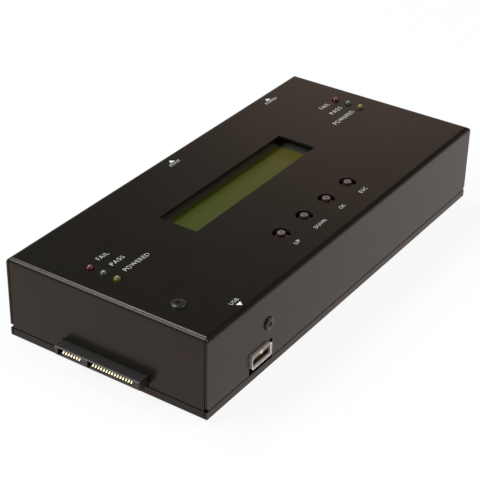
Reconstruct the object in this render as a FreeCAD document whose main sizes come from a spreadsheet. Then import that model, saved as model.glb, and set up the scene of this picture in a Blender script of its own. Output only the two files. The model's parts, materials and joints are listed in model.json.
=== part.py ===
"""Stand-alone 1:1 drive duplicator: a folded steel case with a drive socket at each end.

X runs along the length of the case, -X to the source drive. -Y is the front, with the keys
and the USB port. +Z is up. The origin is at the middle of the footprint, on the surface that
the rubber feet stand on. All sizes are in millimetres.
"""
import FreeCAD, Part
import math
import os
import re
import Sketcher

os.makedirs("parts", exist_ok=True)
doc = FreeCAD.newDocument("DriveDuplicator")

# ------------------------------------------------------------------ driving dimensions
SIZES = {
    # folded sheet-steel case
    "case_length": 200.0,
    "case_width": 92.0,
    "case_height": 35.0,
    "sheet": 1.0,
    "cover_bend": 2.0,
    "tray_bend": 0.6,
    "lip_height": 3.5,
    "seam_gap": 0.5,
    "corner_slit": 0.35,
    "flange_nick": 1.2,
    # rubber feet
    "foot_height": 2.0,
    "foot_side": 10.0,
    "foot_inset": 14.0,
    "foot_taper": 14.0,
    # screws and threaded parts
    "screw_shank": 1.45,
    "screw_hole": 1.7,
    "thread_play": 0.05,
    "top_head_radius": 3.0,
    "top_head_height": 1.0,
    "top_screw_inset": 12.0,
    "top_screw_y": -24.8,
    "pillar_flats": 5.5,
    "pillar_clearance": 0.9,
    "top_shank_length": 6.0,
    "side_head_radius": 2.8,
    "side_head_height": 0.9,
    "side_screw_x": 61.1,
    "side_screw_height": 20.4,
    "side_shank_length": 5.0,
    # brackets that the side screws go into
    "bracket_sheet": 1.2,
    "bracket_play": 0.1,
    "bracket_arm": 4.5,
    "bracket_foot_x": 57.5,
    "bracket_foot_length": 12.5,
    "bracket_tab": 9.0,
    "bracket_nut_flats": 5.5,
    "bracket_nut_length": 2.0,
    # main board and what holds it
    "board_thick": 1.6,
    "board_standoff": 2.6,
    "board_play_x": 2.0,
    "board_play_y": 2.0,
    "board_hole_inset_x": 8.0,
    "board_hole_inset_y": 5.0,
    "standoff_flats": 5.5,
    # drive sockets
    "sata_reach": 5.3,
    "sata_nose_width": 39.6,
    "sata_nose_height": 3.9,
    "sata_nose_drop": 0.4,
    "sata_nose_bevel": 0.5,
    "sata_notch_play": 0.35,
    "sata_notch_above": 0.7,
    "sata_block_width": 43.0,
    "sata_block_depth": 7.2,
    "sata_block_height": 4.4,
    "sata_panel_play": 0.3,
    "sata_slot_floor": 1.4,
    "sata_slot_height": 1.7,
    "sata_slot_depth": 5.8,
    "sata_key_width": 1.2,
    "sata_key_depth": 1.1,
    "sata_key_margin": 2.2,
    "sata_end_margin": 1.3,
    "contact_pitch": 1.27,
    "contact_span": 31.75,
    "contact_width": 0.62,
    "contact_thick": 0.2,
    "contact_lift": 0.9,
    "contact_inset": 0.4,
    "contact_play": 0.07,
    "contact_ramp": 1.0,
    # USB port
    "usb_x": -66.65,
    "usb_axis": 4.25,
    "usb_proud": 1.15,
    "usb_width": 13.1,
    "usb_height": 5.72,
    "usb_depth": 15.2,
    "usb_wall": 0.3,
    "usb_corner": 1.0,
    "usb_notch_width": 15.2,
    "usb_notch_shift": 0.75,
    "usb_notch_above": 0.35,
    "usb_tongue_width": 11.1,
    "usb_tongue_thick": 1.84,
    "usb_tongue_bevel": 0.5,
    "usb_tongue_top": 0.9,
    "usb_tongue_recess": 0.8,
    "usb_tongue_length": 8.7,
    "usb_contact_width": 1.0,
    "usb_contact_thick": 0.2,
    "usb_contact_inset": 0.8,
    "usb_inner_pitch": 2.0,
    "usb_outer_pitch": 2.5,
    "usb_leg_width": 1.5,
    "usb_leg_inset": 3.6,
    "usb_finger_width": 1.5,
    "usb_finger_x": 3.0,
    "usb_finger_start": 2.4,
    "usb_finger_rise": 1.2,
    "usb_finger_flat": 0.6,
    "usb_finger_length": 4.5,
    "usb_finger_lift": 0.35,
    # power jack
    "jack_x": 69.9,
    "jack_width": 9.0,
    "jack_height": 11.0,
    "jack_depth": 14.0,
    "jack_axis": 6.5,
    "jack_bore_radius": 3.15,
    "jack_bore_depth": 9.5,
    "jack_pin_radius": 1.05,
    "jack_pin_recess": 1.0,
    "jack_spring_width": 2.0,
    "jack_spring_thick": 0.3,
    "jack_spring_length": 6.5,
    # printer jack
    "print_x": -3.2,
    "print_width": 15.9,
    "print_height": 13.2,
    "print_depth": 18.0,
    "print_mouth_width": 11.9,
    "print_mouth_floor": 4.2,
    "print_mouth_height": 7.0,
    "print_mouth_depth": 13.5,
    "print_latch_width": 6.2,
    "print_latch_depth": 1.3,
    "print_notch_width": 3.4,
    "print_notch_depth": 1.2,
    "print_wire": 0.4,
    "print_wire_pitch": 1.02,
    "print_wire_drop": 2.2,
    "print_wire_start": 3.0,
    "print_wire_root": 1.3,
    "print_wire_end": 10.0,
    "port_recess": 0.2,
    "port_notch_play": 0.3,
    # board under the cover, with the keys and the lamps
    "panel_spacer": 4.5,
    "panel_length": 188.0,
    "panel_width": 72.0,
    "panel_y": -1.5,
    "panel_hole_inset_x": 12.0,
    "panel_hole_inset_y": 5.0,
    "panel_spacer_flats": 5.5,
    # keys
    "key_pitch": 16.65,
    "key_y": -27.6,
    "key_hole_radius": 3.6,
    "key_case_side": 6.0,
    "key_case_height": 3.5,
    "key_case_lid": 0.9,
    "key_case_well": 5.0,
    "key_stem_radius": 1.72,
    "key_stem_play": 0.13,
    "key_flange_side": 4.4,
    "key_flange_thick": 0.7,
    "key_flange_play": 0.05,
    "key_stand": 0.5,
    "key_disc_radius": 2.3,
    "key_disc_gap": 0.32,
    # lamps
    "led_inset": 12.2,
    "led_y": 9.4,
    "led_pitch": 6.4,
    "led_radius": 1.5,
    "led_hole_play": 0.2,
    "led_dome": 0.8,
    "led_length": 5.3,
    "led_holder": 1.6,
    "led_holder_width": 4.4,
    # display
    "window_length": 86.4,
    "window_width": 18.2,
    "window_y": 8.4,
    "glass_depth": 4.5,
    "glass_thick": 2.6,
    "frame_length": 98.5,
    "frame_width": 26.0,
    "frame_height": 5.6,
    "frame_sheet": 0.6,
    "frame_round": 0.8,
    "frame_opening_length": 85.0,
    "frame_opening_width": 18.6,
    "frame_play": 0.1,
    "lcd_width": 37.0,
    "lcd_post_margin": 1.75,
    "lcd_post_inset": 4.0,
    "lcd_post_y": 14.5,
    "lcd_cut_play": 0.5,
    "lcd_post_side": 5.0,
    "lcd_pin_side": 3.0,
    "lcd_pin_play": 0.1,
    "lcd_pin_reach": 1.2,
    "header_length": 40.6,
    "header_width": 2.5,
    "header_clear": 3.2,
    "header_y": 16.5,
    # parts on the main board
    "chip_side": 27.0,
    "chip_thick": 2.5,
    "chip_x": 10.0,
    "chip_bevel": 0.5,
    "sink_base": 2.0,
    "sink_height": 8.0,
    "sink_fin": 1.4,
    "memory_length": 18.0,
    "memory_width": 8.0,
    "memory_thick": 1.2,
    "memory_x": -22.0,
    "memory_y": 12.0,
    "capacitor_radius": 4.0,
    "capacitor_height": 11.0,
    "capacitor_x": 50.0,
    "capacitor_edge": 13.0,
    "capacitor_pitch": 30.0,
    "inductor_side": 12.0,
    "inductor_height": 6.0,
    "inductor_bevel": 1.8,
    "inductor_x": 66.0,
    "inductor_pitch": 16.0,
    "buzzer_radius": 6.0,
    "buzzer_height": 9.0,
    "buzzer_x": -62.0,
    "buzzer_edge": 23.0,
    # flat cable between the two boards
    "socket_length": 20.3,
    "socket_width": 9.0,
    "socket_height": 9.0,
    "socket_clear": 0.35,
    "main_socket_x": -40.0,
    "panel_socket_x": -14.0,
    "ribbon_width": 12.7,
    "ribbon_thick": 0.9,
    "ribbon_inset": 1.2,
    "ribbon_bend": 1.0,
}
SIGNAL_CONTACTS = 7
POWER_CONTACTS = 15
PRINT_CONTACTS = 8
SINK_FINS = 7
KEYS = ("up", "down", "ok", "esc")
LAMPS = ("fail", "pass", "powered")
ENDS = {"source": -1, "target": 1}

# heights, reaches and places that follow from the driving dimensions
LEVELS = {
    "floor_top": "foot_height + sheet",
    "lip_top": "foot_height + lip_height",
    "cover_bottom": "lip_top + seam_gap",
    "cover_top": "foot_height + case_height",
    "cover_under": "cover_top - sheet",
    "end_face": "case_length/2",
    "side_face": "case_width/2",
    "side_inner": "side_face - sheet",
    "board_bottom": "floor_top + board_standoff",
    "board_top": "board_bottom + board_thick",
    "board_half_x": "end_face - sheet - board_play_x",
    "board_half_y": "side_inner - board_play_y",
    "board_hole_x": "board_half_x - board_hole_inset_x",
    "board_hole_y": "board_half_y - board_hole_inset_y",
    "tapped": "screw_shank + thread_play",
    "panel_top": "cover_under - panel_spacer",
    "panel_bottom": "panel_top - board_thick",
    "panel_hole_x": "panel_length/2 - panel_hole_inset_x",
    "panel_hole_y": "panel_width/2 - panel_hole_inset_y",
    "top_screw_x": "top_screw_inset - end_face",
    "side_screw_z": "foot_height + side_screw_height",
    "pillar_hole": "pillar_flats + 2*pillar_clearance",
    "led_x": "end_face - led_inset",
    "led_base": "panel_top + led_holder",
    "glass_top": "cover_top - glass_depth",
    "frame_top": "glass_top + frame_sheet",
    "lcd_top": "frame_top - frame_height",
    "lcd_bottom": "lcd_top - board_thick",
    "frame_inner_length": "frame_length - 2*frame_sheet",
    "frame_inner_width": "frame_width - 2*frame_sheet",
    "lcd_gap": "panel_bottom - lcd_top",
    "lcd_post_x": "frame_length/2 + lcd_cut_play + lcd_post_side/2 + lcd_post_margin",
    "lcd_length": "2*(lcd_post_x + lcd_post_inset)",
    "header_x": "lcd_post_side/2 + header_clear + header_length/2 - lcd_post_x",
    "lcd_pin_hole": "lcd_pin_side + 2*lcd_pin_play",
    "key_case_top": "panel_top + key_case_height",
    "key_top": "cover_top + key_stand",
    "key_flange_top": "key_case_top - key_case_lid - key_flange_play",
    "key_flange_bottom": "key_flange_top - key_flange_thick",
    "sata_nose_bottom": "board_top - sata_nose_drop",
    "sata_nose_top": "sata_nose_bottom + sata_nose_height",
    "sata_notch_top": "sata_nose_top + sata_notch_above",
    "first_contact": "contact_span/2",
    "first_power": f"first_contact - contact_span + contact_pitch*{POWER_CONTACTS - 1}",
    "slot_top": "sata_slot_floor + sata_slot_height",
    "channel_floor": "sata_slot_floor - contact_thick - 2*contact_play",
    "usb_notch_top": "board_top + usb_axis + usb_height/2 + usb_notch_above",
    "usb_notch_x": "usb_x + usb_notch_shift",
    "jack_notch_top": "board_top + jack_height + port_notch_play",
    "print_notch_top": "board_top + print_height + port_notch_play",
    "socket_y": "window_y - lcd_width/2 - socket_clear - socket_length/2",
    "main_socket_top": "board_top + socket_height",
    "panel_socket_bottom": "panel_bottom - socket_height",
}

sheet = doc.addObject("Spreadsheet::Sheet", "sizes")
for row, (name, value) in enumerate(SIZES.items(), start=1):
    sheet.set(f"A{row}", name)
    sheet.set(f"B{row}", str(value))
    sheet.setAlias(f"B{row}", name)
doc.recompute()


def formula(text):
    """Write a size in the sheet's own terms: levels are spelled out, sizes name their cell."""
    def spell(match):
        word = match.group(0)
        if word in LEVELS:
            return "(" + formula(LEVELS[word]) + ")"
        return "sizes." + word if word in SIZES else word
    return re.sub(r"[a-z]\w*", spell, text)


def size(text):
    """The value of a size expression, in millimetres."""
    return float(sheet.evalExpression(formula(text)))


def bind(thing, prop, text):
    """Tie a property to the sheet."""
    thing.setExpression(prop, formula(text))


def near(first, second):
    """True when two lengths are the same to a micron."""
    return abs(first - second) < 1e-3


# ------------------------------------------------------------------ sketch outlines
def place_point(outline, geometry, point, x, y):
    """Hold a sketch point at x, y from the sketch's origin."""
    for kind, text in (("DistanceX", x), ("DistanceY", y)):
        index = outline.addConstraint(
            Sketcher.Constraint(kind, -1, 1, geometry, point, size(text)))
        outline.setExpression(f"Constraints[{index}]", formula(text))


def polygon(outline, points):
    """A closed outline of straight lines through the named points."""
    corners = [FreeCAD.Vector(size(x), size(y), 0) for x, y in points]
    first = outline.GeometryCount
    for here, there in zip(corners, corners[1:] + corners[:1]):
        outline.addGeometry(Part.LineSegment(here, there), False)
    for step in range(len(points)):
        following = first + (step + 1) % len(points)
        outline.addConstraint(Sketcher.Constraint("Coincident", first + step, 2, following, 1))
    for step, (x, y) in enumerate(points):
        place_point(outline, first + step, 1, x, y)


def rectangle(outline, x, y, length, width):
    """A rectangle of length by width around x, y."""
    left, right = f"{x} - ({length})/2", f"{x} + ({length})/2"
    low, high = f"{y} - ({width})/2", f"{y} + ({width})/2"
    polygon(outline, [(left, low), (right, low), (right, high), (left, high)])


def span(outline, left, right, low, high):
    """A rectangle given by its four sides."""
    polygon(outline, [(left, low), (right, low), (right, high), (left, high)])


def circle(outline, x, y, radius):
    """A circle of the named radius around x, y."""
    middle = FreeCAD.Vector(size(x), size(y), 0)
    index = outline.addGeometry(
        Part.Circle(middle, FreeCAD.Vector(0, 0, 1), size(radius)), False)
    held = outline.addConstraint(Sketcher.Constraint("Radius", index, size(radius)))
    outline.setExpression(f"Constraints[{held}]", formula(radius))
    place_point(outline, index, 3, x, y)


def regular(outline, x, y, reach, corners):
    """An even-sided outline around x, y, measured out to its corners."""
    turns = [2*math.pi*corner/corners for corner in range(corners)]
    polygon(outline, [(f"{x} + ({reach})*{math.cos(turn)}", f"{y} + ({reach})*{math.sin(turn)}")
                      for turn in turns])


def hexagon(outline, x, y, flats):
    """A hexagon around x, y, measured across its flats."""
    regular(outline, x, y, f"({flats})/{math.sqrt(3.0)}", 6)


# ------------------------------------------------------------------ one sub-part
SUBPARTS = []


class SubPart:
    """A PartDesign body whose sketches and features take their sizes from the sheet."""

    def __init__(self, label, at=("0", "0", "0"), turned=0):
        self.body = doc.addObject("PartDesign::Body", label)
        self.body.Label = label
        turn = FreeCAD.Rotation(FreeCAD.Vector(0, 0, 1), turned)
        self.body.Placement = FreeCAD.Placement(FreeCAD.Vector(*map(size, at)), turn)
        for axis, text in zip("xyz", at):
            bind(self.body, f"Placement.Base.{axis}", text)
        SUBPARTS.append(self.body)

    def datum(self, role):
        """One of the body's own origin planes or axes."""
        return next(item for item in self.body.Origin.OriginFeatures if item.Role == role)

    def sketch(self, plane, level="0"):
        """An empty sketch on an origin plane, moved along its normal to a level."""
        outline = self.body.newObject("Sketcher::SketchObject", self.body.Label + "_sketch")
        outline.AttachmentSupport = [(self.datum(plane), "")]
        outline.MapMode = "FlatFace"
        bind(outline, "AttachmentOffset.Base.z", level)
        return outline

    def add(self, kind, outline, **settings):
        feature = self.body.newObject("PartDesign::" + kind, self.body.Label + "_" + kind.lower())
        feature.Profile = outline
        outline.Visibility = False
        for name, value in settings.items():
            setattr(feature, name, value)
        return feature

    def pad(self, outline, length, back=False, centred=False):
        """Material along the sketch's normal, or back against it, or half each way."""
        feature = self.add("Pad", outline, Reversed=back)
        if centred:
            feature.SideType = "Symmetric"
        bind(feature, "Length", length)
        return feature

    def pocket(self, outline, depth=None, back=False, centred=False):
        """A cut along the sketch's normal, or back against it; through all with no depth."""
        feature = self.add("Pocket", outline, Reversed=not back)
        if centred:
            feature.SideType = "Symmetric"
        if depth is None:
            feature.Type = "ThroughAll"
        else:
            bind(feature, "Length", depth)
        return feature

    def loft(self, kind, outline, section):
        feature = self.add(kind, outline, Ruled=True)
        feature.Sections = [section]
        section.Visibility = False
        return feature

    def edges(self, test):
        """The names of the present edges that pass the test."""
        doc.recompute()
        found = [f"Edge{number}" for number, edge in enumerate(self.body.Tip.Shape.Edges, start=1)
                 if test(edge)]
        if not found:
            raise RuntimeError(f"{self.body.Label}: no edge found")
        return found

    def soften(self, kind, amount, test):
        """A Fillet or Chamfer on the edges that pass the test."""
        names = self.edges(test)
        base = self.body.Tip
        feature = self.body.newObject("PartDesign::" + kind, self.body.Label + "_" + kind.lower())
        feature.Base = (base, names)
        bind(feature, "Radius" if kind == "Fillet" else "Size", amount)
        return feature

    def hollow(self, wall, level):
        """Leave a wall of sheet, open at the flat face that lies at the level."""
        doc.recompute()
        base = self.body.Tip
        faces = [f"Face{number}" for number, face in enumerate(self.body.Tip.Shape.Faces, start=1)
                 if near(face.BoundBox.ZMin, size(level)) and near(face.BoundBox.ZMax, size(level))]
        feature = self.body.newObject("PartDesign::Thickness", self.body.Label + "_thickness")
        feature.Base = (base, faces)
        feature.Reversed = True
        bind(feature, "Value", wall)
        return feature

    def row(self, feature, axis, length, count, back=False):
        """Evenly spaced copies of a feature along a body axis."""
        doc.recompute()
        pattern = self.body.newObject("PartDesign::LinearPattern", self.body.Label + "_row")
        pattern.Originals = [feature]
        pattern.Direction = (self.datum(axis), [""])
        pattern.Reversed = back
        bind(pattern, "Length", length)
        pattern.Occurrences = count
        self.body.Tip = pattern
        return pattern


def level_edge(edge, level):
    """True for an edge that lies in the horizontal plane at the level."""
    box = edge.BoundBox
    return near(box.ZMin, size(level)) and near(box.ZMax, size(level))


# ------------------------------------------------------------------ case
def corner_slits(part, level):
    """The open corner seams, where each end flange stops short of the side flange."""
    outline = part.sketch("XY_Plane", level)
    for end in (-1, 1):
        for side in (-1, 1):
            rectangle(outline, f"{end}*(end_face - cover_bend/2)",
                      f"{side}*(side_inner - corner_slit/2)", "cover_bend", "corner_slit")
    return outline


def top_cover():
    part = SubPart("top_cover")
    outline = part.sketch("XY_Plane", "cover_bottom")
    rectangle(outline, "0", "0", "case_length", "case_width")
    part.pad(outline, "cover_top - cover_bottom")
    part.soften("Fillet", "cover_bend", lambda edge: level_edge(edge, "cover_top"))
    part.hollow("sheet", "cover_bottom")
    part.pocket(corner_slits(part, "cover_bottom"))

    face = part.sketch("XY_Plane", "cover_top")
    rectangle(face, "0", "window_y", "window_length", "window_width")
    for number in range(len(KEYS)):
        circle(face, key_x(number), "key_y", "key_hole_radius")
    for end in ENDS.values():
        for row in range(len(LAMPS)):
            circle(face, f"{end}*led_x", lamp_y(row), "led_radius + led_hole_play")
    circle(face, "top_screw_x", "top_screw_y", "screw_hole")
    part.pocket(face, "2*sheet", back=True)

    ends = part.sketch("YZ_Plane")
    width = "sata_nose_width/2 + sata_notch_play"
    span(ends, f"-({width})", width, "lip_top", "sata_notch_top")
    part.pocket(ends, centred=True)

    front = part.sketch("XZ_Plane")
    span(front, "usb_notch_x - usb_notch_width/2", "usb_notch_x + usb_notch_width/2",
         "lip_top", "usb_notch_top")
    circle(front, "-side_screw_x", "side_screw_z", "screw_hole")
    part.pocket(front)

    rear = part.sketch("XZ_Plane")
    for name in ("jack", "print"):
        half = f"({name}_width/2 + port_notch_play)"
        span(rear, f"{name}_x - {half}", f"{name}_x + {half}",
             "lip_top", f"{name}_notch_top")
    circle(rear, "side_screw_x", "side_screw_z", "screw_hole")
    part.pocket(rear, back=True)

    part.soften("Chamfer", "flange_nick", lambda edge: (
        level_edge(edge, "cover_bottom") and near(edge.Length, size("sheet"))
        and near(abs(edge.CenterOfMass.x), size("end_face"))))


def base_tray():
    part = SubPart("base_tray")
    outline = part.sketch("XY_Plane", "foot_height")
    rectangle(outline, "0", "0", "case_length", "case_width")
    part.pad(outline, "lip_height")
    part.hollow("sheet", "lip_top")
    part.soften("Fillet", "tray_bend", lambda edge: level_edge(edge, "foot_height"))
    part.pocket(corner_slits(part, "foot_height"))


def rubber_feet():
    """Four square bumpers that narrow towards the table."""
    part = SubPart("rubber_feet")
    outline = part.sketch("XY_Plane", "foot_height")
    for end in (-1, 1):
        for side in (-1, 1):
            rectangle(outline, f"{end}*(end_face - foot_inset)",
                      f"{side}*(side_face - foot_inset)", "foot_side", "foot_side")
    foot = part.pad(outline, "foot_height", back=True)
    bind(foot, "TaperAngle", "-foot_taper")


# ------------------------------------------------------------------ fasteners and supports
def board_places():
    """The places of the posts near the four corners of the main board."""
    return [(f"{end}*board_hole_x", f"{side}*board_hole_y")
            for end in (-1, 1) for side in (-1, 1)]


def panel_places():
    """The places of the posts near the corners of the board under the cover."""
    return [(f"{end}*panel_hole_x", f"panel_y + {side}*panel_hole_y")
            for end in (-1, 1) for side in (-1, 1)]


def standoffs(label, places, low, height, flats):
    """Hexagonal posts between a board and the sheet it is held on."""
    part = SubPart(label)
    posts = part.sketch("XY_Plane", low)
    for x, y in places:
        hexagon(posts, x, y, flats)
    part.pad(posts, height)


def cover_pillar():
    part = SubPart("cover_pillar", at=("top_screw_x", "top_screw_y", "floor_top"))
    outline = part.sketch("XY_Plane")
    hexagon(outline, "0", "0", "pillar_flats")
    part.pad(outline, "cover_under - floor_top")
    thread = part.sketch("XY_Plane", "cover_under - floor_top")
    circle(thread, "0", "0", "tapped")
    part.pocket(thread, "top_shank_length + sheet", back=True)


def top_screw():
    part = SubPart("top_screw", at=("top_screw_x", "top_screw_y", "cover_top"))
    head = part.sketch("XY_Plane")
    circle(head, "0", "0", "top_head_radius")
    part.pad(head, "top_head_height")
    shank = part.sketch("XY_Plane")
    circle(shank, "0", "0", "screw_shank")
    part.pad(shank, "top_shank_length", back=True)


def side_screws():
    part = SubPart("side_screws")
    head = part.sketch("XZ_Plane", "side_face")
    circle(head, "-side_screw_x", "side_screw_z", "side_head_radius")
    part.pad(head, "side_head_height")
    shank = part.sketch("XZ_Plane", "side_face")
    circle(shank, "-side_screw_x", "side_screw_z", "screw_shank")
    part.pad(shank, "side_shank_length", back=True)
    repeat_turned(part)


def repeat_turned(part):
    """Repeat a finished solid half a turn round the vertical axis, as a second solid."""
    doc.recompute()
    pattern = part.body.newObject("PartDesign::PolarPattern", part.body.Label + "_turn")
    pattern.TransformMode = "Whole shape"
    pattern.Axis = (part.datum("Z_Axis"), [""])
    pattern.Angle = 360
    pattern.Occurrences = 2
    part.body.Tip = pattern


def side_brackets():
    """Angle brackets on the tray floor; each arm carries the nut of its cover screw."""
    part = SubPart("side_brackets")
    foot_near = "-bracket_foot_x"
    foot_far = "bracket_foot_length - bracket_foot_x"
    arm_low = "side_screw_z - bracket_arm"
    arm_high = "side_screw_z + bracket_arm"
    arm_end = "-(side_screw_x + bracket_arm)"
    riser = part.sketch("XZ_Plane", "side_inner - bracket_play")
    polygon(riser, [(foot_near, "floor_top"), (foot_far, "floor_top"), (foot_far, arm_high),
                    (arm_end, arm_high), (arm_end, arm_low), (foot_near, arm_low)])
    part.pad(riser, "bracket_sheet", back=True)
    tab = part.sketch("XY_Plane", "floor_top")
    span(tab, foot_near, foot_far, "bracket_play - side_inner",
         "bracket_play - side_inner + bracket_tab")
    part.pad(tab, "bracket_sheet")
    nut = part.sketch("XZ_Plane", "side_inner - bracket_play - bracket_sheet")
    hexagon(nut, "-side_screw_x", "side_screw_z", "bracket_nut_flats")
    part.pad(nut, "bracket_nut_length", back=True)
    thread = part.sketch("XZ_Plane", "side_inner - bracket_play")
    circle(thread, "-side_screw_x", "side_screw_z", "tapped")
    part.pocket(thread, "bracket_sheet + bracket_nut_length", back=True)
    repeat_turned(part)


# ------------------------------------------------------------------ boards
def main_board():
    part = SubPart("main_board", at=("0", "0", "board_bottom"))
    outline = part.sketch("XY_Plane")
    rectangle(outline, "0", "0", "2*board_half_x", "2*board_half_y")
    part.pad(outline, "board_thick")
    hole = part.sketch("XY_Plane")
    rectangle(hole, "top_screw_x", "top_screw_y", "pillar_hole", "pillar_hole")
    part.pocket(hole)


def panel_board():
    part = SubPart("panel_board", at=("0", "0", "panel_bottom"))
    outline = part.sketch("XY_Plane")
    rectangle(outline, "0", "panel_y", "panel_length", "panel_width")
    part.pad(outline, "board_thick")
    holes = part.sketch("XY_Plane")
    rectangle(holes, "0", "window_y", "frame_length + 2*lcd_cut_play",
              "frame_width + 2*lcd_cut_play")
    for x, y in lcd_places():
        rectangle(holes, x, y, "lcd_pin_hole", "lcd_pin_hole")
    rectangle(holes, "top_screw_x", "top_screw_y", "pillar_hole", "pillar_hole")
    part.pocket(holes)


# ------------------------------------------------------------------ drive sockets
def contact_rows():
    """First contact and count of the signal row and of the power row."""
    return (("first_contact", SIGNAL_CONTACTS), ("first_power", POWER_CONTACTS))


def sata_housing(end):
    """Moulded socket body: a nose with two keyed slots, and a block on the board behind it."""
    part = SubPart(f"{end}_sata_housing", at=(f"{ENDS[end]}*end_face", "0", "board_top"),
                   turned=0 if ENDS[end] < 0 else 180)
    inner = "sheet + sata_panel_play"
    nose = part.sketch("XZ_Plane")
    span(nose, "-sata_reach", inner, "-sata_nose_drop", "sata_nose_height - sata_nose_drop")
    part.pad(nose, "sata_nose_width", centred=True)
    block = part.sketch("XZ_Plane")
    span(block, inner, f"{inner} + sata_block_depth", "0", "sata_block_height")
    part.pad(block, "sata_block_width", centred=True)
    part.soften("Chamfer", "sata_nose_bevel", lambda edge: (
        near(edge.BoundBox.XMin, -size("sata_reach")) and near(edge.BoundBox.XMax, -size("sata_reach"))))

    slots = part.sketch("YZ_Plane", "-sata_reach")
    for first, count in contact_rows():
        high = f"{first} + sata_key_margin"
        low = f"{first} - contact_pitch*{count - 1} - sata_end_margin"
        key_side = f"{high} - sata_key_width"
        key_floor = "sata_slot_floor - sata_key_depth"
        polygon(slots, [(low, "sata_slot_floor"), (key_side, "sata_slot_floor"),
                        (key_side, key_floor), (high, key_floor),
                        (high, "slot_top"), (low, "slot_top")])
    part.pocket(slots, "sata_slot_depth")

    for first, count in contact_rows():
        channel = part.sketch("YZ_Plane", "-sata_reach")
        span(channel, f"{first} - contact_width/2 - contact_play",
             f"{first} + contact_width/2 + contact_play", "channel_floor", "sata_slot_floor")
        cut = part.pocket(channel)
        part.row(cut, "Y_Axis", f"contact_pitch*{count - 1}", count, back=True)


def sata_contacts(end):
    """Sprung contacts: a leg on the board, a run through the housing, a bump in the slot."""
    part = SubPart(f"{end}_sata_contacts", at=(f"{ENDS[end]}*end_face", "0", "board_top"),
                   turned=0 if ENDS[end] < 0 else 180)
    low = "channel_floor + contact_play"
    high = f"{low} + contact_thick"
    tip = "contact_inset - sata_reach"
    tail = "sheet + sata_panel_play + sata_block_depth + contact_play"
    for first, count in contact_rows():
        beam = part.sketch("XZ_Plane", f"-({first})")
        polygon(beam, [
            (tip, low), (f"{tip} + contact_ramp", f"{low} + contact_lift"),
            (f"{tip} + 2*contact_ramp", low), (tail, low), (tail, "0"),
            (f"{tail} + contact_thick", "0"), (f"{tail} + contact_thick", high),
            (f"{tip} + 2*contact_ramp", high),
            (f"{tip} + contact_ramp", f"{high} + contact_lift"), (tip, high)])
        blade = part.pad(beam, "contact_width", centred=True)
        part.row(blade, "Y_Axis", f"contact_pitch*{count - 1}", count, back=True)


# ------------------------------------------------------------------ ports on the long sides
def usb_shell():
    """Drawn steel shell with an open mouth, four spring fingers and four legs."""
    part = SubPart("usb_shell", at=("usb_x", "-side_face - usb_proud", "board_top"))
    tube = part.sketch("XZ_Plane")
    rectangle(tube, "0", "usb_axis", "usb_width", "usb_height")
    part.pad(tube, "usb_depth", back=True)
    part.soften("Fillet", "usb_corner", lambda edge: near(edge.Length, size("usb_depth")))
    cavity = part.sketch("XZ_Plane")
    rectangle(cavity, "0", "usb_axis", "usb_width - 2*usb_wall", "usb_height - 2*usb_wall")
    part.pocket(cavity, "usb_depth - usb_wall", back=True)
    part.soften("Chamfer", "usb_corner - usb_wall", lambda edge: (
        near(edge.Length, size("usb_depth - usb_wall"))))

    for side in (-1, 1):
        fingers = part.sketch("YZ_Plane", f"{side}*usb_finger_x")
        for up in (-1, 1):
            wall = f"usb_axis + {up}*(usb_height/2 - usb_wall)"
            peak = f"{wall} - {up}*usb_finger_lift"
            crest = "usb_finger_start + usb_finger_rise"
            polygon(fingers, [
                ("usb_finger_start", wall), (crest, peak), (f"{crest} + usb_finger_flat", peak),
                ("usb_finger_start + usb_finger_length", wall)])
        part.pad(fingers, "usb_finger_width", centred=True)

    legs = part.sketch("XY_Plane")
    for side in (-1, 1):
        for depth in ("usb_leg_inset", "usb_depth - usb_leg_inset"):
            rectangle(legs, f"{side}*(usb_width - usb_wall)/2", depth, "usb_wall", "usb_leg_width")
    part.pad(legs, "usb_axis - usb_height/2 + usb_corner")


def usb_tongue():
    """White moulded insulator: the tongue in the mouth and the block behind it."""
    part = SubPart("usb_tongue", at=("usb_x", "-side_face - usb_proud", "board_top"))
    inner = "(usb_height/2 - usb_wall)"
    top = f"usb_axis + {inner} - usb_tongue_top"
    end = "usb_tongue_recess + usb_tongue_length"
    blade = part.sketch("YZ_Plane")
    span(blade, "usb_tongue_recess", end, f"{top} - usb_tongue_thick", top)
    part.pad(blade, "usb_tongue_width", centred=True)
    part.soften("Chamfer", "usb_tongue_bevel", lambda edge: (
        near(edge.BoundBox.YMin, size("usb_tongue_recess"))
        and near(edge.BoundBox.YMax, size("usb_tongue_recess"))
        and near(edge.BoundBox.ZMax, edge.BoundBox.ZMin)))
    block = part.sketch("YZ_Plane")
    span(block, end, "usb_depth - usb_wall", f"usb_axis - {inner}", f"usb_axis + {inner}")
    part.pad(block, "usb_width - 2*usb_wall", centred=True)
    part.soften("Chamfer", "usb_corner - usb_wall", lambda edge: (
        near(edge.Length, size(f"usb_depth - usb_wall - ({end})"))))


def usb_contacts():
    part = SubPart("usb_contacts", at=("usb_x", "-side_face - usb_proud", "board_top"))
    under = "usb_axis + usb_height/2 - usb_wall - usb_tongue_top - usb_tongue_thick"
    strips = part.sketch("XY_Plane", under)
    for side in (-1, 1):
        for x in ("usb_inner_pitch/2", "(usb_inner_pitch/2 + usb_outer_pitch)"):
            left = f"{side}*{x} - usb_contact_width/2"
            span(strips, left, f"{left} + usb_contact_width",
                 "usb_tongue_recess + usb_contact_inset", "usb_tongue_recess + usb_tongue_length")
    part.pad(strips, "usb_contact_thick", back=True)


def power_jack():
    part = SubPart("power_jack", at=("jack_x", "side_face - port_recess", "board_top"))
    body = part.sketch("XZ_Plane")
    span(body, "-jack_width/2", "jack_width/2", "0", "jack_height")
    part.pad(body, "jack_depth")
    bore = part.sketch("XZ_Plane")
    circle(bore, "0", "jack_axis", "jack_bore_radius")
    part.pocket(bore, "jack_bore_depth")


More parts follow.
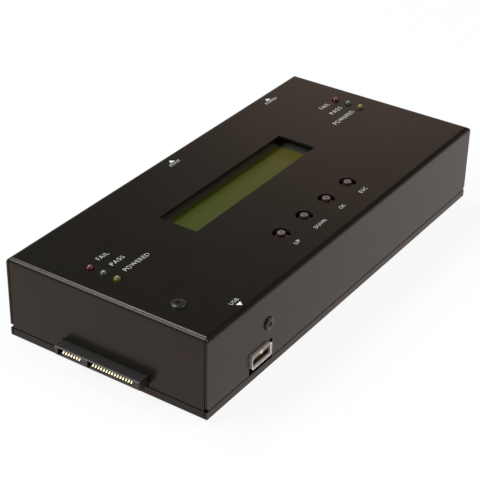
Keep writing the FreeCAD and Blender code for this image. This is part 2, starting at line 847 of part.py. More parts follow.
def power_jack_pin():
    part = SubPart("power_jack_pin", at=("jack_x", "side_face - port_recess", "board_top"))
    pin = part.sketch("XZ_Plane", "jack_pin_recess")
    circle(pin, "0", "jack_axis", "jack_pin_radius")
    part.pad(pin, "jack_bore_depth - jack_pin_recess")


def power_jack_spring():
    """Flat contact spring that presses on the plug's sleeve, on the floor of the bore."""
    part = SubPart("power_jack_spring", at=("jack_x", "side_face - port_recess", "board_top"))
    strip = part.sketch("XZ_Plane", "jack_bore_depth - jack_spring_length")
    floor = "jack_axis - sqrt(jack_bore_radius*jack_bore_radius - jack_spring_width*jack_spring_width/4)"
    span(strip, "-jack_spring_width/2", "jack_spring_width/2", floor, f"{floor} + jack_spring_thick")
    part.pad(strip, "jack_spring_length")


def print_jack():
    """Eight-way modular jack for the report printer, with its stepped latch slot."""
    part = SubPart("print_jack", at=("print_x", "side_face - port_recess", "board_top"))
    body = part.sketch("XZ_Plane")
    span(body, "-print_width/2", "print_width/2", "0", "print_height")
    part.pad(body, "print_depth")
    mouth = part.sketch("XZ_Plane")
    wide, latch, notch = "print_mouth_width/2", "print_latch_width/2", "print_notch_width/2"
    step = "print_mouth_floor - print_latch_depth"
    bottom = f"{step} - print_notch_depth"
    roof = "print_mouth_floor + print_mouth_height"
    right = [(notch, bottom), (notch, step), (latch, step), (latch, "print_mouth_floor"),
             (wide, "print_mouth_floor"), (wide, roof)]
    left = [(f"-{x}", z) for x, z in reversed(right)]
    polygon(mouth, right + left)
    part.pocket(mouth, "print_mouth_depth")


def print_jack_contacts():
    part = SubPart("print_jack_contacts", at=("print_x", "side_face - port_recess", "board_top"))
    roof = "print_mouth_floor + print_mouth_height"
    first = f"print_wire_pitch*{(PRINT_CONTACTS - 1)/2}"
    wire = part.sketch("YZ_Plane", f"-{first}")
    tip = f"{roof} - print_wire_drop"
    polygon(wire, [("-print_wire_start", roof), ("-print_wire_end", tip),
                   ("-print_wire_end", f"{tip} + print_wire"),
                   ("-(print_wire_start + print_wire_root)", roof)])
    strand = part.pad(wire, "print_wire", centred=True)
    part.row(strand, "X_Axis", f"print_wire_pitch*{PRINT_CONTACTS - 1}", PRINT_CONTACTS)


# ------------------------------------------------------------------ display
def lcd_places(middle_y="window_y"):
    """The four places where the display board is snapped to the board above it."""
    return [(f"{end}*lcd_post_x", f"{middle_y} + {side}*lcd_post_y")
            for end in (-1, 1) for side in (-1, 1)]


def lcd_frame():
    """Black pressed-steel frame that clamps the display glass on its board."""
    part = SubPart("lcd_frame", at=("0", "window_y", "lcd_top"))
    outline = part.sketch("XY_Plane")
    rectangle(outline, "0", "0", "frame_length", "frame_width")
    part.pad(outline, "frame_height")
    part.soften("Fillet", "frame_round", lambda edge: level_edge(edge, "frame_height"))
    part.hollow("frame_sheet", "0")
    opening = part.sketch("XY_Plane", "frame_height")
    rectangle(opening, "0", "0", "frame_opening_length", "frame_opening_width")
    part.pocket(opening, "2*frame_sheet", back=True)


def lcd_plate(label, low, height, length, width):
    """A flat layer of the display, around the middle of the window."""
    part = SubPart(label, at=("0", "window_y", low))
    outline = part.sketch("XY_Plane")
    rectangle(outline, "0", "0", length, width)
    part.pad(outline, height)
    return part


def lcd_stack():
    inside = ("frame_inner_length - 2*frame_play", "frame_inner_width - 2*frame_play")
    lcd_plate("lcd_glass", "glass_top - glass_thick", "glass_thick", *inside)
    lcd_plate("lcd_backlight", "lcd_top", "glass_top - glass_thick - lcd_top", *inside)
    board = lcd_plate("lcd_board", "lcd_bottom", "board_thick", "lcd_length", "lcd_width")
    holes = board.sketch("XY_Plane")
    for x, y in lcd_places("0"):
        rectangle(holes, x, y, "lcd_pin_hole", "lcd_pin_hole")
    board.pocket(holes)
    header = SubPart("lcd_header", at=("header_x", "window_y + header_y", "lcd_top"))
    bar = header.sketch("XY_Plane")
    rectangle(bar, "0", "0", "header_length", "header_width")
    header.pad(bar, "lcd_gap")


def lcd_supports():
    """Moulded snap-in posts: a square shoulder between the boards and a pin through each."""
    part = SubPart("lcd_supports")
    shoulders = part.sketch("XY_Plane", "lcd_top")
    pins = part.sketch("XY_Plane", "lcd_bottom - lcd_pin_reach")
    for x, y in lcd_places():
        rectangle(shoulders, x, y, "lcd_post_side", "lcd_post_side")
        rectangle(pins, x, y, "lcd_pin_side", "lcd_pin_side")
    part.pad(shoulders, "lcd_gap")
    part.pad(pins, "panel_top - lcd_bottom + 2*lcd_pin_reach")


# ------------------------------------------------------------------ keys and lamps
def key_x(number):
    return f"key_pitch*{number - (len(KEYS) - 1)/2}"


def lamp_y(row):
    return f"led_y + led_pitch*{1 - row}"


def key_cases():
    """Four square switch cases with a bored lid."""
    part = SubPart("key_cases")
    shells = part.sketch("XY_Plane", "panel_top")
    wells = part.sketch("XY_Plane", "panel_top")
    bores = part.sketch("XY_Plane", "panel_top")
    for number in range(len(KEYS)):
        rectangle(shells, key_x(number), "key_y", "key_case_side", "key_case_side")
        rectangle(wells, key_x(number), "key_y", "key_case_well", "key_case_well")
        circle(bores, key_x(number), "key_y", "key_stem_radius + key_stem_play")
    part.pad(shells, "key_case_height")
    part.pocket(wells, "key_case_height - key_case_lid")
    part.pocket(bores)


def key_discs():
    """Eight-sided snap discs on the board, each a little below its stem."""
    part = SubPart("key_discs")
    outline = part.sketch("XY_Plane", "panel_top")
    for number in range(len(KEYS)):
        regular(outline, key_x(number), "key_y", "key_disc_radius", 8)
    part.pad(outline, "key_flange_bottom - key_disc_gap - panel_top")


def key_stem(number):
    """Round plunger on a square retaining flange that can't turn in its case."""
    part = SubPart(f"key_{KEYS[number]}", at=(key_x(number), "key_y", "key_flange_bottom"))
    flange = part.sketch("XY_Plane")
    rectangle(flange, "0", "0", "key_flange_side", "key_flange_side")
    part.pad(flange, "key_flange_thick")
    stem = part.sketch("XY_Plane")
    circle(stem, "0", "0", "key_stem_radius")
    part.pad(stem, "key_top - key_flange_bottom")


def lamp(end, row):
    """The domed lens of a three-millimetre lamp."""
    part = SubPart(f"{end}_{LAMPS[row]}_led", at=(f"{ENDS[end]}*led_x", lamp_y(row), "led_base"))
    lens = part.sketch("XY_Plane")
    circle(lens, "0", "0", "led_radius")
    part.pad(lens, "led_length")
    part.soften("Chamfer", "led_dome", lambda edge: level_edge(edge, "led_length"))


def led_holders():
    """One moulded bar per end that holds its lamps off the board."""
    part = SubPart("led_holders")
    bars = part.sketch("XY_Plane", "panel_top")
    for end in ENDS.values():
        rectangle(bars, f"{end}*led_x", "led_y", "led_holder_width",
                  f"led_pitch*{len(LAMPS) - 1} + led_holder_width")
    part.pad(bars, "led_holder")


# ------------------------------------------------------------------ parts on the main board
def board_block(label, x, y, length, width, height):
    """A rectangular component that stands on the main board."""
    part = SubPart(label, at=("0", "0", "board_top"))
    outline = part.sketch("XY_Plane")
    for place_x in (x if isinstance(x, tuple) else (x,)):
        for place_y in (y if isinstance(y, tuple) else (y,)):
            rectangle(outline, place_x, place_y, length, width)
    part.pad(outline, height)
    return part


def board_electronics():
    chip = board_block("controller_chip", "chip_x", "0", "chip_side", "chip_side", "chip_thick")
    chip.soften("Chamfer", "chip_bevel", lambda edge: level_edge(edge, "chip_thick"))

    sink = SubPart("heat_sink", at=("chip_x", "0", "board_top + chip_thick"))
    base = sink.sketch("XY_Plane")
    rectangle(base, "0", "0", "chip_side", "chip_side")
    sink.pad(base, "sink_height")
    gap = f"(chip_side - {SINK_FINS}*sink_fin)/{SINK_FINS - 1}"
    groove = sink.sketch("XZ_Plane")
    first = "-chip_side/2 + sink_fin"
    span(groove, first, f"{first} + {gap}", "sink_base", "sink_height")
    cut = sink.pocket(groove, centred=True)
    sink.row(cut, "X_Axis", f"({gap} + sink_fin)*{SINK_FINS - 2}", SINK_FINS - 1)

    board_block("memory_chips", "memory_x", ("memory_y", "-memory_y"),
                "memory_width", "memory_length", "memory_thick")

    coils = board_block("inductors", "inductor_x", ("0", "-inductor_pitch"),
                        "inductor_side", "inductor_side", "inductor_height")
    coils.soften("Chamfer", "inductor_bevel", lambda edge: (
        near(edge.BoundBox.ZMax - edge.BoundBox.ZMin, size("inductor_height"))))

    cans = SubPart("capacitors", at=("0", "0", "board_top"))
    outline = cans.sketch("XY_Plane")
    for column in (0, 1):
        circle(outline, f"capacitor_x + {column}*capacitor_pitch",
               "board_half_y - capacitor_edge", "capacitor_radius")
    cans.pad(outline, "capacitor_height")

    buzzer = SubPart("buzzer", at=("buzzer_x", "board_half_y - buzzer_edge", "board_top"))
    can = buzzer.sketch("XY_Plane")
    circle(can, "0", "0", "buzzer_radius")
    buzzer.pad(can, "buzzer_height")

    board_block("main_socket", "main_socket_x", "socket_y", "socket_width", "socket_length",
                "socket_height")
    under = SubPart("panel_socket", at=("0", "0", "panel_socket_bottom"))
    box = under.sketch("XY_Plane")
    rectangle(box, "panel_socket_x", "socket_y", "socket_width", "socket_length")
    under.pad(box, "socket_height")


def ribbon_cable():
    """Flat cable that leaves one socket, bends up and enters the other."""
    part = SubPart("ribbon_cable", at=("0", "socket_y", "0"))
    start = "main_socket_x + socket_width/2"
    finish = "panel_socket_x - socket_width/2"
    middle = f"({start} + {finish})/2"
    low = "main_socket_top - ribbon_inset"
    high = "panel_socket_bottom + ribbon_inset"
    half = "ribbon_thick/2"
    side = part.sketch("XZ_Plane")
    polygon(side, [
        (start, f"{low} - {half}"), (f"{middle} + {half}", f"{low} - {half}"),
        (f"{middle} + {half}", f"{high} - {half}"), (finish, f"{high} - {half}"),
        (finish, f"{high} + {half}"), (f"{middle} - {half}", f"{high} + {half}"),
        (f"{middle} - {half}", f"{low} + {half}"), (start, f"{low} + {half}")])
    part.pad(side, "ribbon_width", centred=True)
    across = size(middle)
    bends = (("ribbon_bend + ribbon_thick", ((1, low, -1), (-1, high, 1))),
             ("ribbon_bend", ((-1, low, 1), (1, high, -1))))
    for radius, corners in bends:
        places = [(across + sign_x*size(half), size(level) + sign_z*size(half))
                  for sign_x, level, sign_z in corners]
        part.soften("Fillet", radius, lambda edge: any(
            near(edge.CenterOfMass.x, x) and near(edge.CenterOfMass.z, z)
            and near(edge.Length, size("ribbon_width")) for x, z in places))


# ------------------------------------------------------------------ build, check and write
top_cover()
base_tray()
rubber_feet()
side_brackets()
side_screws()
cover_pillar()
top_screw()
main_board()
standoffs("board_standoffs", board_places(), "floor_top", "board_standoff", "standoff_flats")
for end_name in ENDS:
    sata_housing(end_name)
    sata_contacts(end_name)
usb_shell()
usb_tongue()
usb_contacts()
power_jack()
power_jack_pin()
power_jack_spring()
print_jack()
print_jack_contacts()
panel_board()
standoffs("panel_spacers", panel_places(), "panel_top", "panel_spacer", "panel_spacer_flats")
lcd_frame()
lcd_stack()
lcd_supports()
key_cases()
key_discs()
for key_number in range(len(KEYS)):
    key_stem(key_number)
led_holders()
for end_name in ENDS:
    for lamp_row in range(len(LAMPS)):
        lamp(end_name, lamp_row)
board_electronics()
ribbon_cable()
doc.recompute()

for item in doc.Objects:
    if "Invalid" in item.State or "Error" in item.State:
        raise RuntimeError(f"{item.Label} failed: {item.State}")
    if item.TypeId in ("PartDesign::Pocket", "PartDesign::SubtractiveLoft"):
        if item.Shape.Volume >= item.BaseFeature.Shape.Volume:
            raise RuntimeError(f"{item.Label} cuts nothing")
for item in SUBPARTS:
    if item.Shape.isNull() or not item.Shape.isValid():
        raise RuntimeError(f"{item.Label} has no valid shape")
for item in SUBPARTS:
    item.Shape.exportStep(f"parts/{item.Label}.step")
print(len(SUBPARTS), "sub-parts written")
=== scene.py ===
"""Looks of the drive duplicator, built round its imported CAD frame, in metres."""
import bmesh
import bpy
import json
import math
from mathutils import Matrix, Vector


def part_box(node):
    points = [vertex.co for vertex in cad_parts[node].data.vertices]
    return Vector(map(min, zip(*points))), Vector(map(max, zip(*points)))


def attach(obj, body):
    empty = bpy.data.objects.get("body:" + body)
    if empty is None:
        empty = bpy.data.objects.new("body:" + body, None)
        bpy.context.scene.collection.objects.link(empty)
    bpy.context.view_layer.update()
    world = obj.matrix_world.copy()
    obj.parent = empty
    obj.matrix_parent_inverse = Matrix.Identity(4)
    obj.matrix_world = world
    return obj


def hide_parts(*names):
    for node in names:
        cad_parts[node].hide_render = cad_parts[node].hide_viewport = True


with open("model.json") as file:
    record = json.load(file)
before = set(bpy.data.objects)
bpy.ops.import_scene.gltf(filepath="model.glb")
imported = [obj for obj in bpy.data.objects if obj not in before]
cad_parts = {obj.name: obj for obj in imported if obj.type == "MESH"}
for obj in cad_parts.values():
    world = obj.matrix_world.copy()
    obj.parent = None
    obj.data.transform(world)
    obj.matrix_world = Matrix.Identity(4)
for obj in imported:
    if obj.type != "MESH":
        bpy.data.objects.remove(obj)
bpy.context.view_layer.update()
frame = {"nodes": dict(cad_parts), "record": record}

MM = 0.001
NODES = frame["nodes"]
KEYS = ("up", "down", "ok", "esc")
LAMPS = ("fail", "pass", "powered")
ENDS = ("source", "target")
SIDES = (-1, 1)


def low(node):
    """The lowest corner of a CAD node's box."""
    return Vector(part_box(node)[0])


def high(node):
    """The highest corner of a CAD node's box."""
    return Vector(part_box(node)[1])


def middle(node):
    """The middle of a CAD node's box."""
    return (low(node) + high(node)) / 2


def in_mm(*points):
    """Points given in millimetres, turned into metres."""
    return [tuple(value * MM for value in point) for point in points]


COVER_TOP = high("top_cover").z


# ------------------------------------------------------------------ shader expressions
class Signal:
    """A socket that Python arithmetic can be done with; each operation adds a Math node."""

    def __init__(self, owner, socket):
        self.owner = owner
        self.socket = socket

    def math(self, operation, *others):
        node = self.owner.add("ShaderNodeMath", {"operation": operation},
                              dict(enumerate((self,) + others)))
        return self.owner.out(node)

    def __add__(self, other):
        return self.math("ADD", other)

    __radd__ = __add__

    def __sub__(self, other):
        return self.math("SUBTRACT", other)

    def __rsub__(self, other):
        return (self * -1) + other

    def __mul__(self, other):
        return self.math("MULTIPLY", other)

    __rmul__ = __mul__

    def __truediv__(self, other):
        return self.math("DIVIDE", other)

    def __gt__(self, other):
        return self.math("GREATER_THAN", other)

    def __lt__(self, other):
        return self.math("LESS_THAN", other)

    def size(self):
        return self.math("ABSOLUTE")

    def clamped(self):
        """Held between 0 and 1."""
        return self.math("MINIMUM", 1.0).math("MAXIMUM", 0.0)

    def every(self, pitch):
        """The distance past the last multiple of the pitch."""
        return self.math("FLOORED_MODULO", pitch)

    def within(self, limit):
        """1 where the value is nearer to 0 than the limit is, otherwise 0."""
        return self.size() < limit


class Tree:
    """A node tree, and the one way that nodes are added to it."""

    def __init__(self, tree):
        self.tree = tree

    def add(self, kind, settings=None, inputs=None):
        """A node of that kind, with its settings made first and then its sockets fed."""
        node = self.tree.nodes.new(kind)
        for name, value in (settings or {}).items():
            if name == "stops":
                for place, _ in value[1:-1]:
                    node.color_ramp.elements.new(place)
                for stop, (place, colour) in zip(node.color_ramp.elements, value):
                    stop.position, stop.color = place, colour
            else:
                setattr(node, name, value)
        for name, value in (inputs or {}).items():
            self.feed(node.inputs[name], value)
        return node

    def feed(self, socket, value):
        """Links a signal to a socket, or sets the socket to a plain value."""
        if isinstance(value, Signal):
            self.tree.links.new(value.socket, socket)
        else:
            socket.default_value = value

    def out(self, node, name=0):
        """One output of a node, as a signal."""
        return Signal(self, node.outputs[name])


class Finish(Tree):
    """A procedural material: one Principled shader and the nodes that feed it."""

    def __init__(self, name, **constants):
        self.material = bpy.data.materials.new(name)
        self.material.use_nodes = True
        super().__init__(self.material.node_tree)
        self.shader = self.tree.nodes["Principled BSDF"]
        self.set(**constants)

    def set(self, **signals):
        """Feeds the shader's sockets, whose names have _ for each space."""
        for name, signal in signals.items():
            self.feed(self.shader.inputs[name.replace("_", " ")], signal)
        return self

    def place(self, at=(0, 0, 0), scale=(1, 1, 1)):
        """Object coordinates in metres, counted from a point."""
        coordinates = self.out(self.add("ShaderNodeTexCoord"), "Object")
        moved_there = self.add("ShaderNodeVectorMath", {"operation": "SUBTRACT"},
                               {0: coordinates, 1: at})
        sized = self.add("ShaderNodeVectorMath", {"operation": "MULTIPLY"},
                         {0: self.out(moved_there), 1: scale})
        return self.out(sized)

    def axes(self, at=(0, 0, 0)):
        """The three object coordinates, counted from a point."""
        return self.split(self.place(at))

    def split(self, vector):
        """The three parts of a vector."""
        parts = self.add("ShaderNodeSeparateXYZ", None, {0: vector})
        return [self.out(parts, name) for name in "XYZ"]

    def noise(self, grain, detail=3.0, stretch=(1, 1, 1)):
        """Noise from 0 to 1 whose grain is that many metres."""
        node = self.add("ShaderNodeTexNoise", None, {
            "Vector": self.place(scale=stretch), "Scale": 1.0 / grain, "Detail": detail})
        return self.out(node, "Fac")

    def blend(self, amount, first, second):
        """From the first colour at 0 to the second at 1."""
        node = self.add("ShaderNodeMix", {"data_type": "RGBA"},
                        {"Factor": amount, 6: first, 7: second})
        return self.out(node, 2)

    def bump(self, height, depth, strength=1.0):
        """Fine relief, as deep as depth where the height goes from 0 to 1."""
        node = self.add("ShaderNodeBump", None,
                        {"Height": height, "Distance": depth, "Strength": strength})
        return self.set(Normal=self.out(node))


def rgb(red, green, blue):
    """A colour given as it looks on a screen, from 0 to 255, as linear light."""
    def linear(value):
        share = value / 255
        return share / 12.92 if share <= 0.04045 else ((share + 0.055) / 1.055) ** 2.4
    return (linear(red), linear(green), linear(blue), 1.0)


# ------------------------------------------------------------------ finishes
def mottled(name, dark, light, grain, rough, bump, constants):
    """A plain finish with a little life: two tones, uneven gloss and a fine surface."""
    finish = Finish(name, **constants)
    tone_grain = grain * MM
    gloss_grain, fine_grain = tone_grain * 1.7, tone_grain * 0.35
    least, most = rough
    cloud = finish.noise(tone_grain)
    finish.set(Base_Color=finish.blend(cloud, rgb(*dark), rgb(*light)),
               Roughness=least + finish.noise(gloss_grain) * (most - least))
    return finish.bump(finish.noise(fine_grain, 2.0), bump * MM)


def brushed(name, dark, light, rough):
    """Bare metal with drawn-out streaks."""
    finish = Finish(name, Metallic=1.0)
    streaks = finish.noise(0.25 * MM, 3.0, stretch=(0.08, 1, 1))
    finish.set(Base_Color=finish.blend(streaks, rgb(*dark), rgb(*light)),
               Roughness=rough + 0.12 * streaks)
    return finish.bump(streaks, 0.006 * MM)


def case_paint():
    """Semi-gloss black stove enamel: a slow orange peel and a warm cast."""
    finish = Finish("case_paint", IOR=1.36, Specular_Tint=(1.0, 0.7, 0.6, 1.0))
    cloud = finish.noise(14 * MM, 2.0)
    peel = finish.noise(1.8 * MM, 1.0)
    tone = finish.blend(cloud, rgb(20, 18, 14), rgb(25, 22, 17))
    finish.set(Base_Color=tone, Roughness=0.2 + 0.05 * peel + 0.04 * cloud)
    return finish.bump(peel, 0.006 * MM)


def display_face():
    """Unlit display: an olive field with the faint dots of two rows of twenty characters."""
    finish = Finish("display_face", IOR=1.33, Coat_Roughness=0.06)
    x, y, _ = finish.axes(middle("lcd_glass"))
    columns, rows = 20, 2
    pitch_x, pitch_y = 3.7 * MM, 5.95 * MM
    dots_across, dots_down = 5, 8
    dot, gap = 0.65 * MM, 0.06 * MM
    across = (x + columns * pitch_x).every(pitch_x)
    down = (y + rows * pitch_y).every(pitch_y)
    dots = (across < dots_across * dot) * (across.every(dot) > gap)
    dots = dots * (down < dots_down * dot) * (down.every(dot) > gap)
    field = x.within(columns / 2 * pitch_x) * y.within(rows / 2 * pitch_y)
    cloud = finish.noise(9 * MM, 2.0)
    base = finish.blend(cloud, rgb(60, 66, 21), rgb(68, 74, 27))
    # painted reflection: lighter and warmer towards the right end
    base = finish.blend(x / (100 * MM) + 0.43, base, rgb(80, 71, 25))
    finish.set(Base_Color=finish.blend(dots * field * 0.1, base, rgb(40, 46, 20)),
               Roughness=0.34 + 0.05 * cloud, Coat_Weight=0.08 + 0.04 * cloud)
    return finish


def board_lacquer():
    """Green solder mask over copper tracks that run at right angles."""
    finish = Finish("board_lacquer", Coat_Roughness=0.15)
    x, y, _ = finish.axes()
    lane_x = (x.every(1.9 * MM) > 1.5 * MM) * (finish.noise(11 * MM, 1.0) > 0.52)
    lane_y = (y.every(2.3 * MM) > 1.9 * MM) * (finish.noise(9 * MM, 1.0) < 0.47)
    tracks = (lane_x + lane_y) > 0.5
    finish.set(Base_Color=finish.blend(tracks, rgb(18, 74, 40), rgb(34, 104, 58)),
               Roughness=0.3 + 0.1 * finish.noise(3 * MM), Coat_Weight=0.4 + 0.1 * tracks)
    return finish.bump(tracks, 0.03 * MM)


def spring_gold():
    """Gold flash on the top and the tip of a contact; faces that turn along Y are darker."""
    finish = Finish("gold_contact", Metallic=0.8)
    cloud = finish.noise(0.5 * MM)
    _, sideways, _ = finish.split(finish.out(finish.add("ShaderNodeNewGeometry"), "Normal"))
    gold = finish.blend(cloud, rgb(206, 168, 130), rgb(226, 192, 154))
    finish.set(Base_Color=finish.blend(sideways.size() > 0.6, gold, rgb(62, 46, 34)),
               Roughness=0.34 + 0.12 * cloud)
    return finish


def port_steel():
    """Plated port shell: bright at the mouth, and dark with painted shade from just inside it."""
    finish = Finish("port_steel", Metallic=0.6)
    unshaded_rim, shade_fade = 1.1 * MM, 0.6 * MM
    _, y, _ = finish.axes((0, low("usb_shell").y + unshaded_rim, 0))
    cloud = finish.noise(1.2 * MM)
    bright = finish.blend(cloud, rgb(248, 238, 232), rgb(254, 248, 244))
    # painted shade: the shell darkens from 1.1 mm inside the mouth, over a further 0.6 mm
    finish.set(Base_Color=finish.blend((y / shade_fade).clamped(), bright, rgb(74, 66, 46)),
               Roughness=0.34 + 0.1 * cloud)
    return finish


def key_plastic():
    """Moulded nylon with painted shade, darker down its sides and in its top dimple."""
    finish = Finish("key_plastic")
    shade_fade = 0.3 * MM
    _, _, z = finish.axes((0, 0, high("key_up").z))
    # painted shade: darker within 0.3 mm below the key top, down the sides and in the dimple
    sunk = (z * -1 / shade_fade).clamped()
    cloud = finish.noise(0.8 * MM)
    face = finish.blend(cloud, rgb(100, 80, 76), rgb(116, 95, 91))
    finish.set(Base_Color=finish.blend(sunk, face, rgb(56, 40, 38)), Roughness=0.36 + 0.1 * cloud)
    return finish.bump(cloud, 0.01 * MM)


def lens(name, lamp, tint, shaded_rim):
    """Tinted epoxy: painted shade deepens its rim, a painted highlight pales its middle."""
    finish = Finish(name, IOR=1.5, Transmission_Weight=0.35)
    centre = middle(f"target_{lamp}_led")
    x, y, _ = finish.axes()
    aside = x.size() - centre.x
    along = y - centre.y
    reach = (aside * aside + along * along).math("SQRT") / (1.5 * MM)
    # painted highlight in the lens's middle, fading out to the painted shade of its rim
    highlight_spread = 1 - (reach + 0.5 * (finish.noise(0.7 * MM) - 0.5)) * 1.7
    core = highlight_spread.math("MAXIMUM", 0.0)
    finish.set(Base_Color=finish.blend(core, rgb(*shaded_rim), rgb(*tint)),
               Roughness=0.16 + 0.08 * core)
    return finish


def flat_cable():
    """Grey ribbon of ten wires with the first one marked red."""
    finish = Finish("cable_grey")
    _, y, _ = finish.axes(low("ribbon_cable"))
    pitch = 1.27 * MM
    groove = (y.every(pitch) - pitch / 2).size() / pitch
    # painted shade: darker in the grooves between the wires, palest along each wire's crown
    wires = finish.blend(groove * 2, rgb(156, 156, 158), rgb(112, 112, 114))
    finish.set(Base_Color=finish.blend(y < pitch, wires, rgb(150, 36, 34)),
               Roughness=0.42 + 0.08 * finish.noise(2 * MM))
    return finish.bump(1 - groove, 0.2 * MM)


# name: darker tone, lighter tone, grain in mm, least and most roughness, relief in mm, the rest
MOTTLED = {
    # frame_paint: the black steel frame in a lighter grey-brown, painted light where it lies in
    # deep shade
    "frame_paint": ((58, 52, 45), (68, 61, 53), 3, (0.45, 0.55), 0.01, {}),
    "black_screw": ((48, 46, 42), (66, 62, 56), 0.8, (0.26, 0.36), 0.008, {"Metallic": 0.6}),
    "bright_steel": ((248, 238, 232), (254, 248, 244), 1.2, (0.34, 0.44), 0.004,
                     {"Metallic": 0.6}),
    "socket_black": ((42, 34, 31), (52, 42, 39), 1.5, (0.42, 0.52), 0.012,
                     {"Specular_Tint": (1.0, 0.92, 0.86, 1.0)}),
    "tongue_plastic": ((104, 92, 48), (124, 110, 62), 1.5, (0.4, 0.5), 0.01, {}),
    "switch_brown": ((80, 52, 47), (94, 62, 56), 1.5, (0.4, 0.5), 0.012, {}),
    "spacer_plastic": ((208, 206, 196), (226, 224, 216), 2, (0.4, 0.5), 0.01, {}),
    "backlight_plastic": ((196, 206, 150), (214, 222, 170), 2, (0.4, 0.5), 0.01, {}),
    "chip_plastic": ((28, 28, 30), (40, 40, 42), 0.6, (0.5, 0.62), 0.02, {}),
    "ferrite": ((52, 52, 54), (74, 74, 76), 0.5, (0.6, 0.75), 0.03, {}),
    "foot_rubber": ((24, 24, 24), (36, 35, 34), 0.7, (0.7, 0.85), 0.05, {}),
    "white_ink": ((244, 232, 226), (252, 244, 238), 0.6, (0.5, 0.6), 0.002, {}),
    "can_sleeve": ((20, 22, 30), (30, 32, 42), 2, (0.3, 0.4), 0.01, {}),
}
# name: darker streaks, lighter streaks, least roughness
BRUSHED = {
    "zinc": ((150, 150, 146), (196, 196, 190), 0.34),
    "sink_aluminium": ((150, 150, 154), (190, 190, 194), 0.38),
    "can_aluminium": ((168, 170, 176), (204, 206, 210), 0.28),
}
# name: the lamp it belongs to, painted highlight of the middle, painted shade of the rim
LENSES = {
    "lens_red": ("fail", (190, 136, 138), (92, 18, 28)),
    "lens_green": ("pass", (214, 208, 196), (72, 78, 68)),
    "lens_yellow": ("powered", (224, 206, 146), (116, 96, 26)),
}
SPECIAL = {
    "case_paint": case_paint,
    "port_steel": port_steel,
    "gold_contact": spring_gold,
    "board_green": board_lacquer,
    "key_plastic": key_plastic,
    "display_glass": display_face,
    "cable_grey": flat_cable,
}
FINISHES = {name: maker() for name, maker in SPECIAL.items()}
for table, maker in ((MOTTLED, mottled), (BRUSHED, brushed), (LENSES, lens)):
    FINISHES.update({name: maker(name, *row) for name, row in table.items()})

SLOTS = {row["node"]: row["material_slot"] for row in frame["record"]["subparts"]}
# nodes that look different from the rest of their slot
OWN_FINISH = {"key_cases": "switch_brown", "usb_shell": "port_steel"}
for node_name, node_object in NODES.items():
    node_object.data.materials.clear()
    finish_name = OWN_FINISH.get(node_name, SLOTS[node_name])
    node_object.data.materials.append(FINISHES[finish_name].material)


# ------------------------------------------------------------------ modelling
SHARP_ANGLE = math.radians(32)


def round_off(shape, edges, bend, segments):
    """Rounds some edges of a shape."""
    bmesh.ops.bevel(shape, geom=edges, offset=bend, segments=segments, affect="EDGES",
                    profile=0.5, material=-1)


def corners_in(made):
    """The corners among the parts that an extrusion made."""
    return [part for part in made if isinstance(part, bmesh.types.BMVert)]


def edges_in(made):
    """The edges among the parts that an extrusion made."""
    return [part for part in made if isinstance(part, bmesh.types.BMEdge)]


def closed_loop(shape, points):
    """The edges of a loop through points and back to the first one."""
    corners = [shape.verts.new(point) for point in points]
    return [shape.edges.new(pair) for pair in zip(corners, corners[1:] + corners[:1])]


def block(lowest, highest, bevel=0.0, segments=2):
    """A box between two corners with its edges rounded."""
    shape = bmesh.new()
    bmesh.ops.create_cube(shape, size=1.0)
    lowest, highest = Vector(lowest), Vector(highest)
    bmesh.ops.scale(shape, vec=highest - lowest, verts=shape.verts)
    bmesh.ops.translate(shape, vec=(lowest + highest) / 2, verts=shape.verts)
    if bevel:
        round_off(shape, shape.edges, bevel, segments)
    return shape


def lathe(profile, steps=40):
    """A profile of (radius, height) points turned round the Z axis."""
    shape = bmesh.new()
    corners = [shape.verts.new((radius, 0, height)) for radius, height in profile]
    lines = [shape.edges.new(pair) for pair in zip(corners, corners[1:])]
    bmesh.ops.spin(shape, geom=corners + lines, cent=(0, 0, 0), axis=(0, 0, 1),
                   angle=2 * math.pi, steps=steps, use_merge=True)
    bmesh.ops.remove_doubles(shape, verts=shape.verts, dist=0.0005 * MM)
    return shape


def plate(outline, thick, bevel=0.0):
    """An outline in the XY plane, thickened upwards, with its upper rim rounded."""
    shape = bmesh.new()
    face = shape.faces.new([shape.verts.new((x, y, 0)) for x, y in outline])
    tops = corners_in(bmesh.ops.extrude_face_region(shape, geom=[face])["geom"])
    bmesh.ops.translate(shape, vec=(0, 0, thick), verts=tops)
    if bevel:
        rim = [edge for edge in shape.edges if all(corner in tops for corner in edge.verts)]
        round_off(shape, rim, bevel, 2)
    return shape


def rounding(radius, height, bend, turns=5):
    """Points of a rim that rounds over from the side at a radius to the top at a height."""
    steps = [math.pi / 2 * step / turns for step in range(turns + 1)]
    return [(radius - bend * (1 - math.cos(turn)), height - bend * (1 - math.sin(turn)))
            for turn in steps]


class Piece:
    """Shapes gathered into one finished object."""

    def __init__(self, name, finish, body="case", stands_for=()):
        self.name = name
        self.finish = finish
        self.body = body
        self.stands_for = stands_for
        self.whole = bmesh.new()

    def join(self, shape, *moves):
        """Adds a shape after its moves, made in the order given."""
        for move in moves:
            bmesh.ops.transform(shape, matrix=move, verts=shape.verts)
        bmesh.ops.recalc_face_normals(shape, faces=shape.faces)
        passing = bpy.data.meshes.new("passing")
        shape.to_mesh(passing)
        shape.free()
        self.whole.from_mesh(passing)
        bpy.data.meshes.remove(passing)

    def done(self):
        """Makes the object, and says which body it rides on and which nodes it replaces."""
        data = bpy.data.meshes.new(self.name)
        self.whole.to_mesh(data)
        self.whole.free()
        data.materials.append(FINISHES[self.finish].material)
        data.shade_smooth()
        data.set_sharp_from_angle(angle=SHARP_ANGLE)
        thing = bpy.data.objects.new(self.name, data)
        bpy.context.collection.objects.link(thing)
        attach(thing, self.body)
        if self.stands_for:
            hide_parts(*self.stands_for)


def moved(x, y, z):
    """The move by a distance along each axis."""
    return Matrix.Translation((x, y, z))


